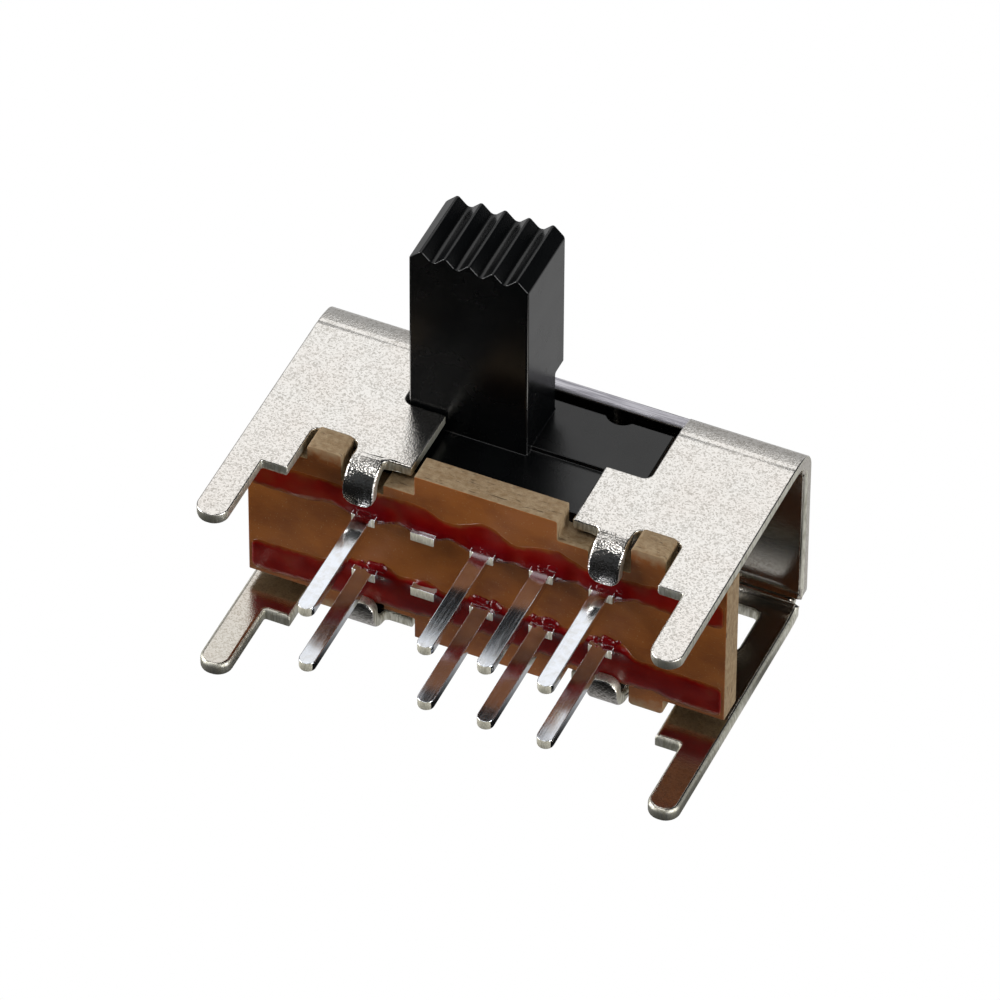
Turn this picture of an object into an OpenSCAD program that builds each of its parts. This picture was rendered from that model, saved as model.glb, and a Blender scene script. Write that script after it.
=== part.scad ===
// Slide switch with two poles and three positions, for mounting at right angles to a circuit board.
//
// A folded steel frame grips a phenolic terminal board between its notches and its crimp tabs.
// A moulded slider runs in the frame. It carries two contact clips, one for each row of terminals,
// and two sprung balls, which drop into dimples of the frame's back wall at each position.
//
// X runs along the switch, -Y is the side of the pins and the circuit board, and +Z is the side of
// the knob. The origin is under the middle of the whole switch, on the plane that it stands on.

/* [Frame] */
// Length of the frame
frame_length = 16.2; // [16:0.1:16.6]
// Height over the frame's two plates
frame_height = 7; // [6.9:0.1:7.4]
// Thickness of the frame's sheet steel
sheet = 0.45; // [0.4:0.01:0.5]
// Inner radius of the two long bends
bend_radius = 0.65; // [0.55:0.05:0.75]
// Distance from the back wall to the shoulders that seat on the circuit board
seat_reach = 7.6; // [7.4:0.05:7.8]
// Distance from the back wall to the tips of the mounting legs
leg_reach = 10.45; // [9.8:0.05:11]
// Width of a mounting leg
leg_width = 1.05; // [0.9:0.05:1.2]
// Width of a crimp tab
tab_width = 1.05; // [0.9:0.05:1.15]

/* [Terminal board] */
// Distance from the back wall to the board's rear face
board_reach = 5.6; // [5.5:0.05:5.7]
// Thickness of the board
board_thickness = 0.95; // [0.85:0.05:1.05]
// Height of the board's centre line above the frame's
board_rise = 0.2; // [0.1:0.05:0.25]

/* [Terminals] */
// Distance between neighbouring contact places, and between the slider's positions
pitch = 2; // [1.9:0.05:2.05]
// Height between the two rows of terminals
row_spacing = 2.4; // [2.2:0.1:2.6]
// Width of a pin
pin_width = 0.55; // [0.45:0.05:0.65]
// Thickness of the terminals' sheet
terminal_sheet = 0.35; // [0.3:0.05:0.45]
// Distance from the back wall to the tips of the pins
pin_reach = 11.2; // [10.6:0.1:12]

/* [Slider] */
// Length of the knob along the travel
knob_length = 4; // [3.8:0.1:4.2]
// Width of the knob, front to back
knob_width = 2.8; // [2.7:0.05:2.9]
// Height of the knob's side faces above the frame
knob_height = 6.1; // [5:0.1:7]
// Number of finger ridges across the knob
ridge_count = 5; // [4:1:7]
// Diameter of a detent ball
ball_diameter = 1; // [0.9:0.05:1.1]

/* [Hidden] */

$fn = 64;
// Extra length of every cutter, so that it passes its faces cleanly
spill = 1;

// Frame: places along X
half_length = frame_length / 2;
leg_inner = half_length - leg_width;
shoulder_inner = leg_inner - 0.85;
notch_inner = shoulder_inner - 1.55;
tab_inner = notch_inner - tab_width;
opening_half = 2.7;
slot_half = pitch + knob_length / 2 + 0.15;

// Frame: distances from the back wall
board_front = board_reach + board_thickness;
tab_bend = 0.5;
front_edge = board_front - tab_bend;
knob_rear = 0.6;
knob_front = knob_rear + knob_width;
slot_front = knob_front + 0.1;
fold_start = 1.42;

// Frame: heights
mid_height = frame_height / 2;
lip_height = frame_height - 0.55;
lip_root = frame_height - 1.2;
plate_underside = frame_height - sheet;
tab_drop = 1.4;

// Frame: small features
cut_radius = 0.28;
// The folds ease in along a wide arc, then turn a tight outer corner
ease_radius = 3.2;
fold_corner = 0.8;
// How far the two arcs cross, so that they meet in a clean edge
fold_lap = 0.012;
tip_radius = leg_width / 2 - 0.03;
tab_tip_radius = 0.4;
tab_fillet = 0.15;
window_x = [leg_inner - 2, leg_inner];
window_y = [1.3, 3.2];
nick = 0.25;
nick_reach = 0.65;
dimple_depth = 0.15;

// Terminal board
board_centre = mid_height + board_rise;
row_height = row_spacing / 2;
board_half_length = half_length - 0.03;
board_half_height = 2.8;
board_waist = 2.3;
tongue_half = [2.4, 3.5];
ledge_half = [3.45, 2.7];
bump_x = [notch_inner + 0.2, shoulder_inner - 0.18];
bump_half_height = 3.4;
bump_radius = 0.15;

// Terminals
head_thickness = 0.3;
head_half_height = 0.55;
head_width = 0.75 * pitch;
root_width = pin_width + 0.25;
root_reach = board_front + 0.3;
common_x = [-3.2 * pitch, -0.8 * pitch];
common_pin_x = -2 * pitch;
stub_x = -pitch;
contact_plane = board_reach - head_thickness;

// Seals: the wavy bands of resin on the board's front
seal_thickness = 0.1;
seal_end = board_half_length - 0.12;
seal_steps = 48;
tab_margin = 0.06;

// Slider: places along X count from its own middle
rest_x = -pitch;
running_gap = 0.15;
carrier_half = half_length - pitch - 0.25;
carrier_floor = sheet + running_gap;
carrier_top = plate_underside - running_gap;
carrier_step = 0.15;
carrier_rear = sheet + 0.3;
carrier_front = contact_plane - 0.2;
land_front = knob_front - 0.3;
carrier_chamfer = 0.15;
relief_y = 0.58;
relief_radius = 0.53;
relief_floor = mid_height + 1.2;
stem_rear = 1.25;
overhang_z = frame_height + 0.9;
knob_edge = 0.08;
ridge_pitch = knob_length / ridge_count;
ridge_height = ridge_pitch / 2;
ridge_tip_radius = 0.1;
ridge_root_radius = 0.16;
knob_shoulder_z = frame_height + knob_height;

// Contact clips: the contact places count from the middle of the clip
clip_thickness = 0.15;
clip_half_height = 0.45;
clip_middle = -pitch / 2;
clip_reach = 1.5 * pitch;
clip_seat_half = 0.9;
clip_gap = 0.05;
bend_middle_radius = 0.225;
// Angle by which the round bend laps its arm, so that the two are one piece
bend_lap = 4;
pocket_depth = 0.85;
pocket_floor = carrier_front - pocket_depth;
pocket_half = clip_reach + 0.5;
pocket_half_height = clip_half_height + 0.05;
// Middle line of the clip's sheet: the seat, and the centre of the round contact bend
seat_line = pocket_floor + clip_thickness / 2;
bend_centre = contact_plane - clip_gap - clip_thickness / 2 - bend_middle_radius;
arm_run = [clip_reach - clip_seat_half, bend_centre - seat_line];
arm_angle = atan2(arm_run[1], arm_run[0]) + asin(bend_middle_radius / norm(arm_run));
arm_length = sqrt(arm_run * arm_run - pow(bend_middle_radius, 2));

// Detent
detent_x = 2 * pitch;
ball_radius = ball_diameter / 2;
ball_y = sheet + 0.05 + ball_radius;
bore_radius = ball_radius + 0.05;
bore_end = 3;
wire_radius = 0.08;
coil_radius = 0.36;
coil_turns = 4.5;
coil_steps = 72;
wire_sides = 8;
// The first turn touches the ball and the last one the end of the bore
coil_start = ball_y + sqrt(pow(ball_radius + wire_radius, 2) - pow(coil_radius, 2));
coil_end = bore_end - wire_radius;

// ---------------------------------------------------------------- helpers

// Turns a drawing whose Y counts forward from the back wall into the switch's own frame.
module placed() {
    translate([0, pin_reach / 2, 0]) mirror([0, 1, 0]) children();
}

// A rectangle between two places each way.
module rect(x, y) {
    translate([x[0], y[0]]) square([x[1] - x[0], y[1] - y[0]]);
}

// A rectangle with four round corners.
module round_rect(x, y, radius) {
    rect([x[0] + radius, x[1] - radius], y);
    rect(x, [y[0] + radius, y[1] - radius]);
    for (corner_x = [x[0] + radius, x[1] - radius])
        for (corner_y = [y[0] + radius, y[1] - radius])
            translate([corner_x, corner_y]) circle(radius);
}

// Extrusions of an outline along each axis, between two places on it.
module along_x(x) {
    translate([x[0], 0, 0]) rotate([90, 0, 90]) linear_extrude(x[1] - x[0]) children();
}

module along_y(y) {
    translate([0, y[1], 0]) rotate([90, 0, 0]) linear_extrude(y[1] - y[0]) children();
}

module along_z(z) {
    translate([0, 0, z[0]]) linear_extrude(z[1] - z[0]) children();
}

// The children and their mirror image at the other end of the switch.
module both_ends() {
    children();
    mirror([1, 0, 0]) children();
}

// The children and their mirror image on the frame's other plate.
module both_plates() {
    children();
    translate([0, 0, frame_height]) mirror([0, 0, 1]) children();
}

// ---------------------------------------------------------------- frame

// Outline of the folded channel, seen from its end, at a depth below its outer faces.
module fold_outline(depth, radius, reach) {
    ease = ease_radius - depth;
    corner_y = depth + radius;
    run = fold_start - corner_y;
    ease_z = frame_height - ease_radius;
    corner_z = ease_z + sqrt(pow(ease - radius, 2) - pow(run, 2)) + fold_lap;
    rect([fold_start, reach], [depth, frame_height - depth]);
    rect([depth, fold_start + spill], [frame_height - corner_z, corner_z]);
    // The upper fold, then the lower one as its mirror image
    for (side = [0, 1])
        translate([0, side * frame_height]) mirror([0, side, 0])
            intersection() {
                translate([fold_start, ease_z]) circle(ease);
                union() {
                    translate([corner_y, corner_z]) circle(radius);
                    rect([corner_y - radius * run / (ease - radius), fold_start + spill],
                         [mid_height, frame_height + spill]);
                }
            }
}

module channel() {
    along_x([-half_length, half_length])
        difference() {
            fold_outline(0, fold_corner, leg_reach);
            fold_outline(sheet, bend_radius, leg_reach + spill);
        }
}

// Outline that both plates share, seen from above.
module plate_outline() {
    difference() {
        union() {
            rect([-half_length, half_length], [-spill, front_edge]);
            both_ends() {
                rect([shoulder_inner, half_length], [0, seat_reach]);
                rect([leg_inner, half_length], [0, leg_reach - tip_radius]);
                round_rect([leg_inner, half_length], [seat_reach, leg_reach], tip_radius);
            }
        }
        both_ends()
            round_rect([notch_inner, shoulder_inner], [board_reach, seat_reach + spill], cut_radius);
        round_rect([-opening_half, opening_half],
                   [slot_front - cut_radius, front_edge + spill], cut_radius);
    }
}

// The slot that the knob's stem runs in. It cuts right through the upper fold.
module knob_slot() {
    along_z([lip_root, frame_height + spill])
        round_rect([-slot_half, slot_half], [-spill, slot_front], cut_radius);
}

// The edge of the back wall that stays upright along the slot.
module slot_lip() {
    translate([-slot_half, 0, mid_height])
        cube([2 * slot_half, sheet, lip_height - mid_height]);
}

module bottom_windows() {
    along_z([-spill, mid_height])
        both_ends() round_rect(window_x, window_y, cut_radius);
}

// Nicks that relieve the lower bend at the frame's ends.
module bend_nicks() {
    both_ends()
        translate([half_length - nick, -spill, -spill])
            cube([nick + spill, nick_reach + spill, nick_reach + spill]);
}

// Dimples of the back wall that the detent balls drop into, one for each position of each ball.
module detent_dimples() {
    for (side = [-1, 1])
        for (position = [-1, 0, 1])
            translate([side * detent_x + position * pitch, ball_y - 0.05 - dimple_depth, mid_height])
                sphere(ball_radius);
}

// Section of a crimp tab, from the plate's edge down the board's front.
module tab_section() {
    centre_z = plate_underside - tab_bend;
    intersection() {
        translate([front_edge, centre_z])
            difference() {
                circle(tab_bend + sheet);
                circle(tab_bend);
            }
        rect([front_edge, board_front + sheet + spill], [centre_z, frame_height + spill]);
    }
    rect([board_front, board_front + sheet], [frame_height - tab_drop, centre_z]);
}

module crimp_tab() {
    intersection() {
        along_x([tab_inner - tab_fillet, notch_inner]) tab_section();
        union() {
            along_y([0, pin_reach])
                round_rect([tab_inner, notch_inner],
                           [frame_height - tab_drop, frame_height + spill], tab_tip_radius);
            along_z([mid_height, frame_height + spill])
                difference() {
                    rect([tab_inner - tab_fillet, tab_inner], [0, front_edge + tab_fillet]);
                    translate([tab_inner - tab_fillet, front_edge + tab_fillet]) circle(tab_fillet);
                }
        }
    }
}

module frame() {
    color("#cfcdc8")
        placed() {
            difference() {
                intersection() {
                    channel();
                    along_z([-spill, frame_height + spill]) plate_outline();
                }
                knob_slot();
                bottom_windows();
                bend_nicks();
                detent_dimples();
            }
            slot_lip();
            both_plates() both_ends() crimp_tab();
        }
}

// ---------------------------------------------------------------- terminal board and seals

// Outline of the board about its own centre line, seen from the front.
module board_outline() {
    rect([-board_half_length, board_half_length], [-board_waist, board_waist]);
    rect([-ledge_half[0], ledge_half[0]], [-ledge_half[1], ledge_half[1]]);
    rect([-tongue_half[0], tongue_half[0]], [-tongue_half[1], tongue_half[1]]);
    both_ends() {
        rect([bump_x[0], board_half_length], [-board_half_height, board_half_height]);
        round_rect(bump_x, [-bump_half_height, bump_half_height], bump_radius);
    }
}

// Holes for every terminal's root, seen from the front.
module root_holes() {
    for (row = [-row_height, row_height])
        for (x = [common_pin_x, stub_x, 0, pitch, 2 * pitch])
            translate([x, row]) square([root_width, terminal_sheet], center = true);
}

module terminal_board() {
    color("#8a5a30")
        placed() translate([0, 0, board_centre])
            along_y([board_reach, board_front])
                difference() {
                    board_outline();
                    root_holes();
                }
}

// A band of resin whose two edges swell and sink along the row.
// centre and half_height are the band's own, and phase sets how its edges wander.
module seal(centre, half_height, phase) {
    function edge(side, x) =
        centre + side * half_height * (1 + 0.12 * sin(95 * x + side * phase)
                                         + 0.08 * sin(41 * x + phase));
    xs = [for (i = [0 : seal_steps]) -seal_end + 2 * seal_end * i / seal_steps];
    tab_z = frame_height - tab_drop - tab_margin;
    difference() {
        translate([0, 0, board_centre])
            along_y([board_front, board_front + seal_thickness])
                difference() {
                    polygon(concat([for (x = xs) [x, edge(-1, x)]],
                                   [for (i = [seal_steps : -1 : 0]) [xs[i], edge(1, xs[i])]]));
                    root_holes();
                }
        both_plates() both_ends()
            translate([tab_inner - tab_margin, board_front - spill, tab_z])
                cube([tab_width + 2 * tab_margin, sheet + 2 * spill, tab_drop + spill]);
    }
}

module seal_upper() {
    color("#7a1712") placed() seal(row_height + 0.45, 0.5, 20);
}

module seal_lower() {
    color("#7a1712") placed() seal(-row_height - 0.55, 0.72, 140);
}

// ---------------------------------------------------------------- terminals

// The root of a terminal through the board, without its pin.
module root(x) {
    along_z([-terminal_sheet / 2, terminal_sheet / 2])
        rect([x - root_width / 2, x + root_width / 2], [contact_plane, root_reach]);
}

// A root and the straight, round-tipped pin that stands out of it.
module rooted_pin(x) {
    root(x);
    along_z([-terminal_sheet / 2, terminal_sheet / 2]) {
        rect([x - pin_width / 2, x + pin_width / 2], [contact_plane, pin_reach - pin_width / 2]);
        translate([x, pin_reach - pin_width / 2]) circle(d = pin_width);
    }
}

// The flat contact face of a terminal behind the board, between two places along X.
module contact_plate(x) {
    along_z([-head_half_height, head_half_height])
        rect(x, [contact_plane, board_reach]);
}

module common_terminal(row) {
    color("#d8d6d0")
        placed() translate([0, 0, board_centre + row]) {
            contact_plate(common_x);
            rooted_pin(common_pin_x);
            root(stub_x);
        }
}

module throw_terminal(row, position) {
    x = (position - 1) * pitch;
    color("#d8d6d0")
        placed() translate([0, 0, board_centre + row]) {
            contact_plate([x - head_width / 2, x + head_width / 2]);
            rooted_pin(x);
        }
}

// ---------------------------------------------------------------- slider

// Puts what is drawn about the slider's middle at its left-hand position.
module on_slider() {
    placed() translate([rest_x, 0, 0]) children();
}

// Section of the carrier: chamfered behind, with a land under the slot and a lower front.
module carrier_section() {
    polygon([
        [carrier_rear, carrier_floor + carrier_chamfer],
        [carrier_rear + carrier_chamfer, carrier_floor],
        [carrier_front, carrier_floor],
        [carrier_front, carrier_top - carrier_step],
        [land_front, carrier_top - carrier_step],
        [land_front, carrier_top],
        [carrier_rear + carrier_chamfer, carrier_top],
        [carrier_rear, carrier_top - carrier_chamfer]
    ]);
}

// Section of the knob and its stem. The knob overhangs the stem behind.
module knob_section() {
    rect([stem_rear, knob_front], [mid_height, knob_shoulder_z + spill]);
    rect([knob_rear, knob_front], [overhang_z, knob_shoulder_z + spill]);
}

// One right-angled finger ridge with a round tip, standing on the knob's shoulder.
module ridge() {
    flat_half = ridge_tip_radius / sqrt(2);
    polygon([
        [-ridge_pitch / 2, 0],
        [ridge_pitch / 2, 0],
        [flat_half, ridge_height - flat_half],
        [-flat_half, ridge_height - flat_half]
    ]);
    translate([0, ridge_height - ridge_tip_radius * sqrt(2)]) circle(ridge_tip_radius);
}

// The fillet in the groove between two ridges.
module ridge_root() {
    flat_half = ridge_root_radius / sqrt(2);
    difference() {
        polygon([[-flat_half, flat_half], [0, 0], [flat_half, flat_half]]);
        translate([0, ridge_root_radius * sqrt(2)]) circle(ridge_root_radius);
    }
}

// Front view of the knob: straight sides under a row of ridges.
module ridge_outline() {
    rect([-knob_length / 2, knob_length / 2], [mid_height, knob_shoulder_z]);
    translate([-knob_length / 2, knob_shoulder_z]) {
        for (i = [0 : ridge_count - 1])
            translate([(i + 0.5) * ridge_pitch, 0]) ridge();
        for (i = [1 : ridge_count - 1])
            translate([i * ridge_pitch, 0]) ridge_root();
    }
}

module knob() {
    intersection() {
        along_x([-knob_length, knob_length]) knob_section();
        along_y([0, pin_reach]) ridge_outline();
        along_z([0, knob_shoulder_z + knob_length])
            round_rect([-knob_length / 2, knob_length / 2], [knob_rear, knob_front], knob_edge);
    }
}

// Bores in the slider's rear for the detent springs and balls, and the relief notches above them.
module detent_bores() {
    for (side = [-1, 1]) {
        translate([side * detent_x, bore_end, mid_height])
            rotate([90, 0, 0]) cylinder(h = bore_end, r = bore_radius);
        translate([side * detent_x, relief_y, relief_floor])
            cylinder(h = frame_height, r = relief_radius);
    }
}

// Pockets in the slider's front that hold the contact clips.
module clip_pockets() {
    for (row = [-row_height, row_height])
        along_z([board_centre + row - pocket_half_height, board_centre + row + pocket_half_height])
            rect([clip_middle - pocket_half, clip_middle + pocket_half],
                 [pocket_floor, carrier_front + spill]);
}

module slider() {
    color("#1d1e20")
        on_slider()
            difference() {
                union() {
                    along_x([-carrier_half, carrier_half]) carrier_section();
                    knob();
                }
                detent_bores();
                clip_pockets();
            }
}

// ---------------------------------------------------------------- contact clips

// One half of a clip: half its seat, a straight arm and a round contact bend.
module clip_half() {
    z = [-clip_half_height, clip_half_height];
    along_z(z) rect([0, clip_seat_half], [pocket_floor, pocket_floor + clip_thickness]);
    translate([clip_seat_half, seat_line, 0]) {
        along_z(z) circle(d = clip_thickness);
        rotate(arm_angle)
            along_z(z) rect([0, arm_length], [-clip_thickness / 2, clip_thickness / 2]);
    }
    translate([clip_reach, bend_centre, z[0]])
        rotate_extrude(angle = 90 + arm_angle + bend_lap)
            translate([bend_middle_radius - clip_thickness / 2, 0])
                square([clip_thickness, z[1] - z[0]]);
}

module contact_clip(row) {
    color("#c9974a")
        on_slider() translate([clip_middle, 0, board_centre + row]) both_ends() clip_half();
}

// ---------------------------------------------------------------- detent

module detent_ball(side) {
    color("#b9bcc0")
        on_slider() translate([side * detent_x, ball_y, mid_height]) sphere(ball_radius);
}

// A round wire wound about the Y axis, from the ball to the end of its bore.
module detent_spring(side) {
    rings = [
        for (i = [0 : coil_steps])
            let (turn = 360 * coil_turns * i / coil_steps,
                 y = coil_start + (coil_end - coil_start) * i / coil_steps)
            [for (k = [0 : wire_sides - 1])
                let (around = 360 * k / wire_sides,
                     reach = coil_radius + wire_radius * cos(around))
                [reach * cos(turn), y + wire_radius * sin(around), reach * sin(turn)]]
    ];
    points = [for (ring = rings) each ring];
    function at(i, k) = i * wire_sides + k % wire_sides;
    skin = [
        for (i = [0 : coil_steps - 1])
            for (k = [0 : wire_sides - 1])
                each [[at(i, k), at(i + 1, k), at(i + 1, k + 1)],
                      [at(i, k), at(i + 1, k + 1), at(i, k + 1)]]
    ];
    caps = [
        [for (k = [0 : wire_sides - 1]) at(0, k)],
        [for (k = [wire_sides - 1 : -1 : 0]) at(coil_steps, k)]
    ];
    color("#9c9fa3")
        on_slider()
            translate([side * detent_x, 0, mid_height])
                polyhedron(points, concat(skin, caps));
}

// ---------------------------------------------------------------- parts

frame();
terminal_board();
seal_upper();
seal_lower();
common_terminal(row_height);  // common_terminal_upper
common_terminal(-row_height);  // common_terminal_lower
throw_terminal(row_height, 1);  // throw_terminal_upper_1
throw_terminal(row_height, 2);  // throw_terminal_upper_2
throw_terminal(row_height, 3);  // throw_terminal_upper_3
throw_terminal(-row_height, 1);  // throw_terminal_lower_1
throw_terminal(-row_height, 2);  // throw_terminal_lower_2
throw_terminal(-row_height, 3);  // throw_terminal_lower_3
slider();
contact_clip(row_height);  // contact_clip_upper
contact_clip(-row_height);  // contact_clip_lower
detent_ball(-1);  // detent_ball_left
detent_ball(1);  // detent_ball_right
detent_spring(-1);  // detent_spring_left
detent_spring(1);  // detent_spring_right
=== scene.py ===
import logging
import math
from dataclasses import dataclass
from enum import Enum
from typing import Callable, Sequence

import bmesh
import bpy
from mathutils import Matrix, Vector, noise


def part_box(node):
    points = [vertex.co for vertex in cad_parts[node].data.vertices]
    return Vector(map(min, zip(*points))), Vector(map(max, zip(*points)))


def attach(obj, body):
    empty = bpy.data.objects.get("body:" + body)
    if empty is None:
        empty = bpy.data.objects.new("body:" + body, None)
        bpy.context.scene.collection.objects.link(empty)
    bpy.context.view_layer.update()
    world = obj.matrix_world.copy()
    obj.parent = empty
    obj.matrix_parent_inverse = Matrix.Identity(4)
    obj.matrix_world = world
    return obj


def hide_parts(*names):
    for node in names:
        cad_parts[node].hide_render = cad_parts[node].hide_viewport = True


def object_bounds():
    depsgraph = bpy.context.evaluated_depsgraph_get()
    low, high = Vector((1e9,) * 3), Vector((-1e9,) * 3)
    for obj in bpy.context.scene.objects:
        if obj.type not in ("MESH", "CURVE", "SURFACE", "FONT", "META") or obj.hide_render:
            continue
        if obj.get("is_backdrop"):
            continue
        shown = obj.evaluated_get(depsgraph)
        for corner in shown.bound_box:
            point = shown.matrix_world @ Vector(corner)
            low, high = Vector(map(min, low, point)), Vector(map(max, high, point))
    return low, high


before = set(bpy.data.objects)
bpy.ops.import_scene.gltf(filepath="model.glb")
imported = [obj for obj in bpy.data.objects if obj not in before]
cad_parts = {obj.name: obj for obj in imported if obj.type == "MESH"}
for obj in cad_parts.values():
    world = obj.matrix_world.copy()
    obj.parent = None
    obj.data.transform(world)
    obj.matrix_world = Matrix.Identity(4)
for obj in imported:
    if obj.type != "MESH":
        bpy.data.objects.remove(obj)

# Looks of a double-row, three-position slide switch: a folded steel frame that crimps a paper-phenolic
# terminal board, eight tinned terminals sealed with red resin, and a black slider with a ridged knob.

MM = 0.001
WHITE = "#FFFFFF"
# Edges that turn by more than this many degrees are rounded, and in a shape with rounded edges those
# that turn by more than the next one stay crisp
SHARP = 32.0
CRISP = 40.0
log = logging.getLogger("slide_switch")

Node = bpy.types.Node
Socket = bpy.types.NodeSocket
Tree = bpy.types.NodeTree
Material = bpy.types.Material
Piece = bpy.types.Object
Shape = bmesh.types.BMesh
Values = dict[str, Node | Socket]
Point = tuple[float, float]
Sizes = tuple[float, float, float]


class Body(Enum):
    """The two bodies of the switch."""

    HOUSING = "body"
    SLIDER = "slider"


class Row(Enum):
    """The two rows of terminals."""

    UPPER = "upper"
    LOWER = "lower"


class Slot(Enum):
    """The record's material slots."""

    FRAME = "frame_steel"
    BOARD = "phenolic"
    SEAL = "seal_resin"
    TERMINAL = "terminal_metal"
    MOULDING = "black_moulding"
    SPRING = "spring_steel"


class Skin(Enum):
    """Which part of the folded sheet a place belongs to; the value is its material number."""

    OUTSIDE = 0
    INSIDE = 1
    CUT = 2
    LIP = 3
    TAB = 4


# ------------------------------------------------------------------ helpers


def linear(colour: str) -> tuple[float, float, float, float]:
    """Turns an sRGB hex colour to linear values.

    Args:
        colour: A colour such as "#C0A080".

    Returns:
        Red, green, blue and an alpha of 1.
    """
    parts = [int(colour[i : i + 2], 16) / 255 for i in (1, 3, 5)]
    values = [p / 12.92 if p <= 0.04045 else ((p + 0.055) / 1.055) ** 2.4 for p in parts]
    return (values[0], values[1], values[2], 1.0)


def add(tree: Tree, kind: str, inputs: dict | None = None, **settings: str) -> Node:
    """Adds a node with its settings and links.

    Args:
        tree: The node tree.
        kind: The node's type name.
        inputs: Input name or number to what it gets: a socket, a node, which stands for the first of
            its outputs that is in use, an sRGB hex colour, or a plain value.
        settings: Properties to set on the node.

    Returns:
        The node.
    """
    node = tree.nodes.new(kind)
    for name, value in settings.items():
        setattr(node, name, value)
    for name, value in (inputs or {}).items():
        if isinstance(value, Node):
            value = next(output for output in value.outputs if output.enabled)
        if isinstance(value, Socket):
            tree.links.new(value, node.inputs[name])
        elif isinstance(value, str) and value.startswith("#"):
            node.inputs[name].default_value = linear(value)
        else:
            node.inputs[name].default_value = value
    return node


def bare_tree(owner: Material | bpy.types.World) -> Tree:
    """Gives the node tree of a new material or world, emptied."""
    owner.use_nodes = True
    owner.node_tree.nodes.clear()
    return owner.node_tree


def piece_from(name: str, shape: Shape) -> Piece:
    """Makes a scene object at the origin from a bmesh, which it frees.

    Args:
        name: The piece's name.
        shape: Its shape, in the switch's own frame, in metres.

    Returns:
        The object.
    """
    mesh = bpy.data.meshes.new(name)
    shape.to_mesh(mesh)
    shape.free()
    made = bpy.data.objects.new(name, mesh)
    bpy.context.scene.collection.objects.link(made)
    return made


def solid_copy(node: str) -> Shape:
    """A CAD node's shape with its loose triangles merged to whole faces.

    Args:
        node: The CAD node's name.

    Returns:
        The shape.
    """
    same_place, same_plane = 1e-7, math.radians(0.5)
    shape = bmesh.new()
    shape.from_mesh(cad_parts[node].data)
    bmesh.ops.remove_doubles(shape, verts=shape.verts, dist=same_place)
    bmesh.ops.dissolve_limit(shape, angle_limit=same_plane, verts=shape.verts, edges=shape.edges)
    return shape


def apply_modifiers(piece: Piece) -> None:
    """Turns a piece and its modifiers into a plain mesh.

    Args:
        piece: The piece.
    """
    graph = bpy.context.evaluated_depsgraph_get()
    baked = bpy.data.meshes.new_from_object(piece.evaluated_get(graph))
    piece.modifiers.clear()
    old = piece.data
    piece.data = baked
    baked.name = piece.name
    bpy.data.meshes.remove(old)


def round_edges(piece: Piece, width_mm: float, segments: int = 2, weighted: bool = False) -> None:
    """Rounds a piece's sharp edges.

    Args:
        piece: The piece.
        width_mm: Width of the rounding in millimetres.
        segments: Number of steps round the edge.
        weighted: Whether the edges' own bevel weights say which are rounded, and how much.
    """
    bevel = piece.modifiers.new("round_edges", "BEVEL")
    bevel.width = width_mm * MM
    bevel.segments = segments
    bevel.limit_method = "WEIGHT" if weighted else "ANGLE"
    bevel.angle_limit = math.radians(SHARP)
    bevel.use_clamp_overlap = False
    bevel.harden_normals = False
    bevel.miter_outer = "MITER_ARC"
    apply_modifiers(piece)


def smooth(piece: Piece, angle: float = CRISP) -> None:
    """Shades a piece smooth, apart from edges sharper than an angle, and keeps its flat faces flat.

    Args:
        piece: The piece.
        angle: The angle in degrees.
    """
    piece.data.shade_smooth()
    piece.data.set_sharp_from_angle(angle=math.radians(angle))
    flat = piece.modifiers.new("flat_faces", "WEIGHTED_NORMAL")
    flat.mode = "FACE_AREA"
    flat.weight = 100
    flat.keep_sharp = True
    apply_modifiers(piece)


def rounded_solid(name: str, node: str, edge_mm: float, angle: float = CRISP) -> Piece:
    """A copy of a CAD node with its sharp edges rounded.

    Args:
        name: The piece's name.
        node: The CAD node's name.
        edge_mm: Width of the rounding in millimetres.
        angle: Edges sharper than this stay crisp, in degrees.

    Returns:
        The piece.
    """
    piece = piece_from(name, solid_copy(node))
    round_edges(piece, edge_mm)
    smooth(piece, angle)
    return piece


def dress(
    piece: Piece, finishes: Sequence[Material], number: Callable[[bpy.types.MeshPolygon], int] | None = None
) -> None:
    """Gives a piece its finishes.

    Args:
        piece: The piece.
        finishes: The finishes.
        number: Function that gives the number of a face's finish, or None where there is one only.
    """
    piece.data.materials.clear()
    for finish in finishes:
        piece.data.materials.append(finish)
    for face in piece.data.polygons:
        face.material_index = number(face) if number else 0


def finish_piece(piece: Piece, body: Body, stands_for: tuple[str, ...] = ()) -> None:
    """Puts a piece on its body and reports it.

    Args:
        piece: The piece.
        body: The body that it rides on.
        stands_for: CAD nodes that it replaces.
    """
    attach(piece, body.value)
    if stands_for:
        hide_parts(*stands_for)
    faces = len(piece.data.polygons)
    log.info("%s: %d faces on %s, for %s", piece.name, faces, body.value, stands_for or "no node")


def geometry_tree(name: str, kinds: dict[str, str]) -> tuple[Tree, bpy.types.NodeOutputs]:
    """Starts a geometry node tree.

    Args:
        name: The tree's name.
        kinds: Name of each input to its kind, such as "Float".

    Returns:
        The tree, and the inputs as its nodes find them.
    """
    tree = bpy.data.node_groups.new(name, "GeometryNodeTree")
    for label, kind in kinds.items():
        tree.interface.new_socket(label, in_out="INPUT", socket_type=f"NodeSocket{kind}")
    tree.interface.new_socket("Geometry", in_out="OUTPUT", socket_type="NodeSocketGeometry")
    return tree, add(tree, "NodeGroupInput").outputs


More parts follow.
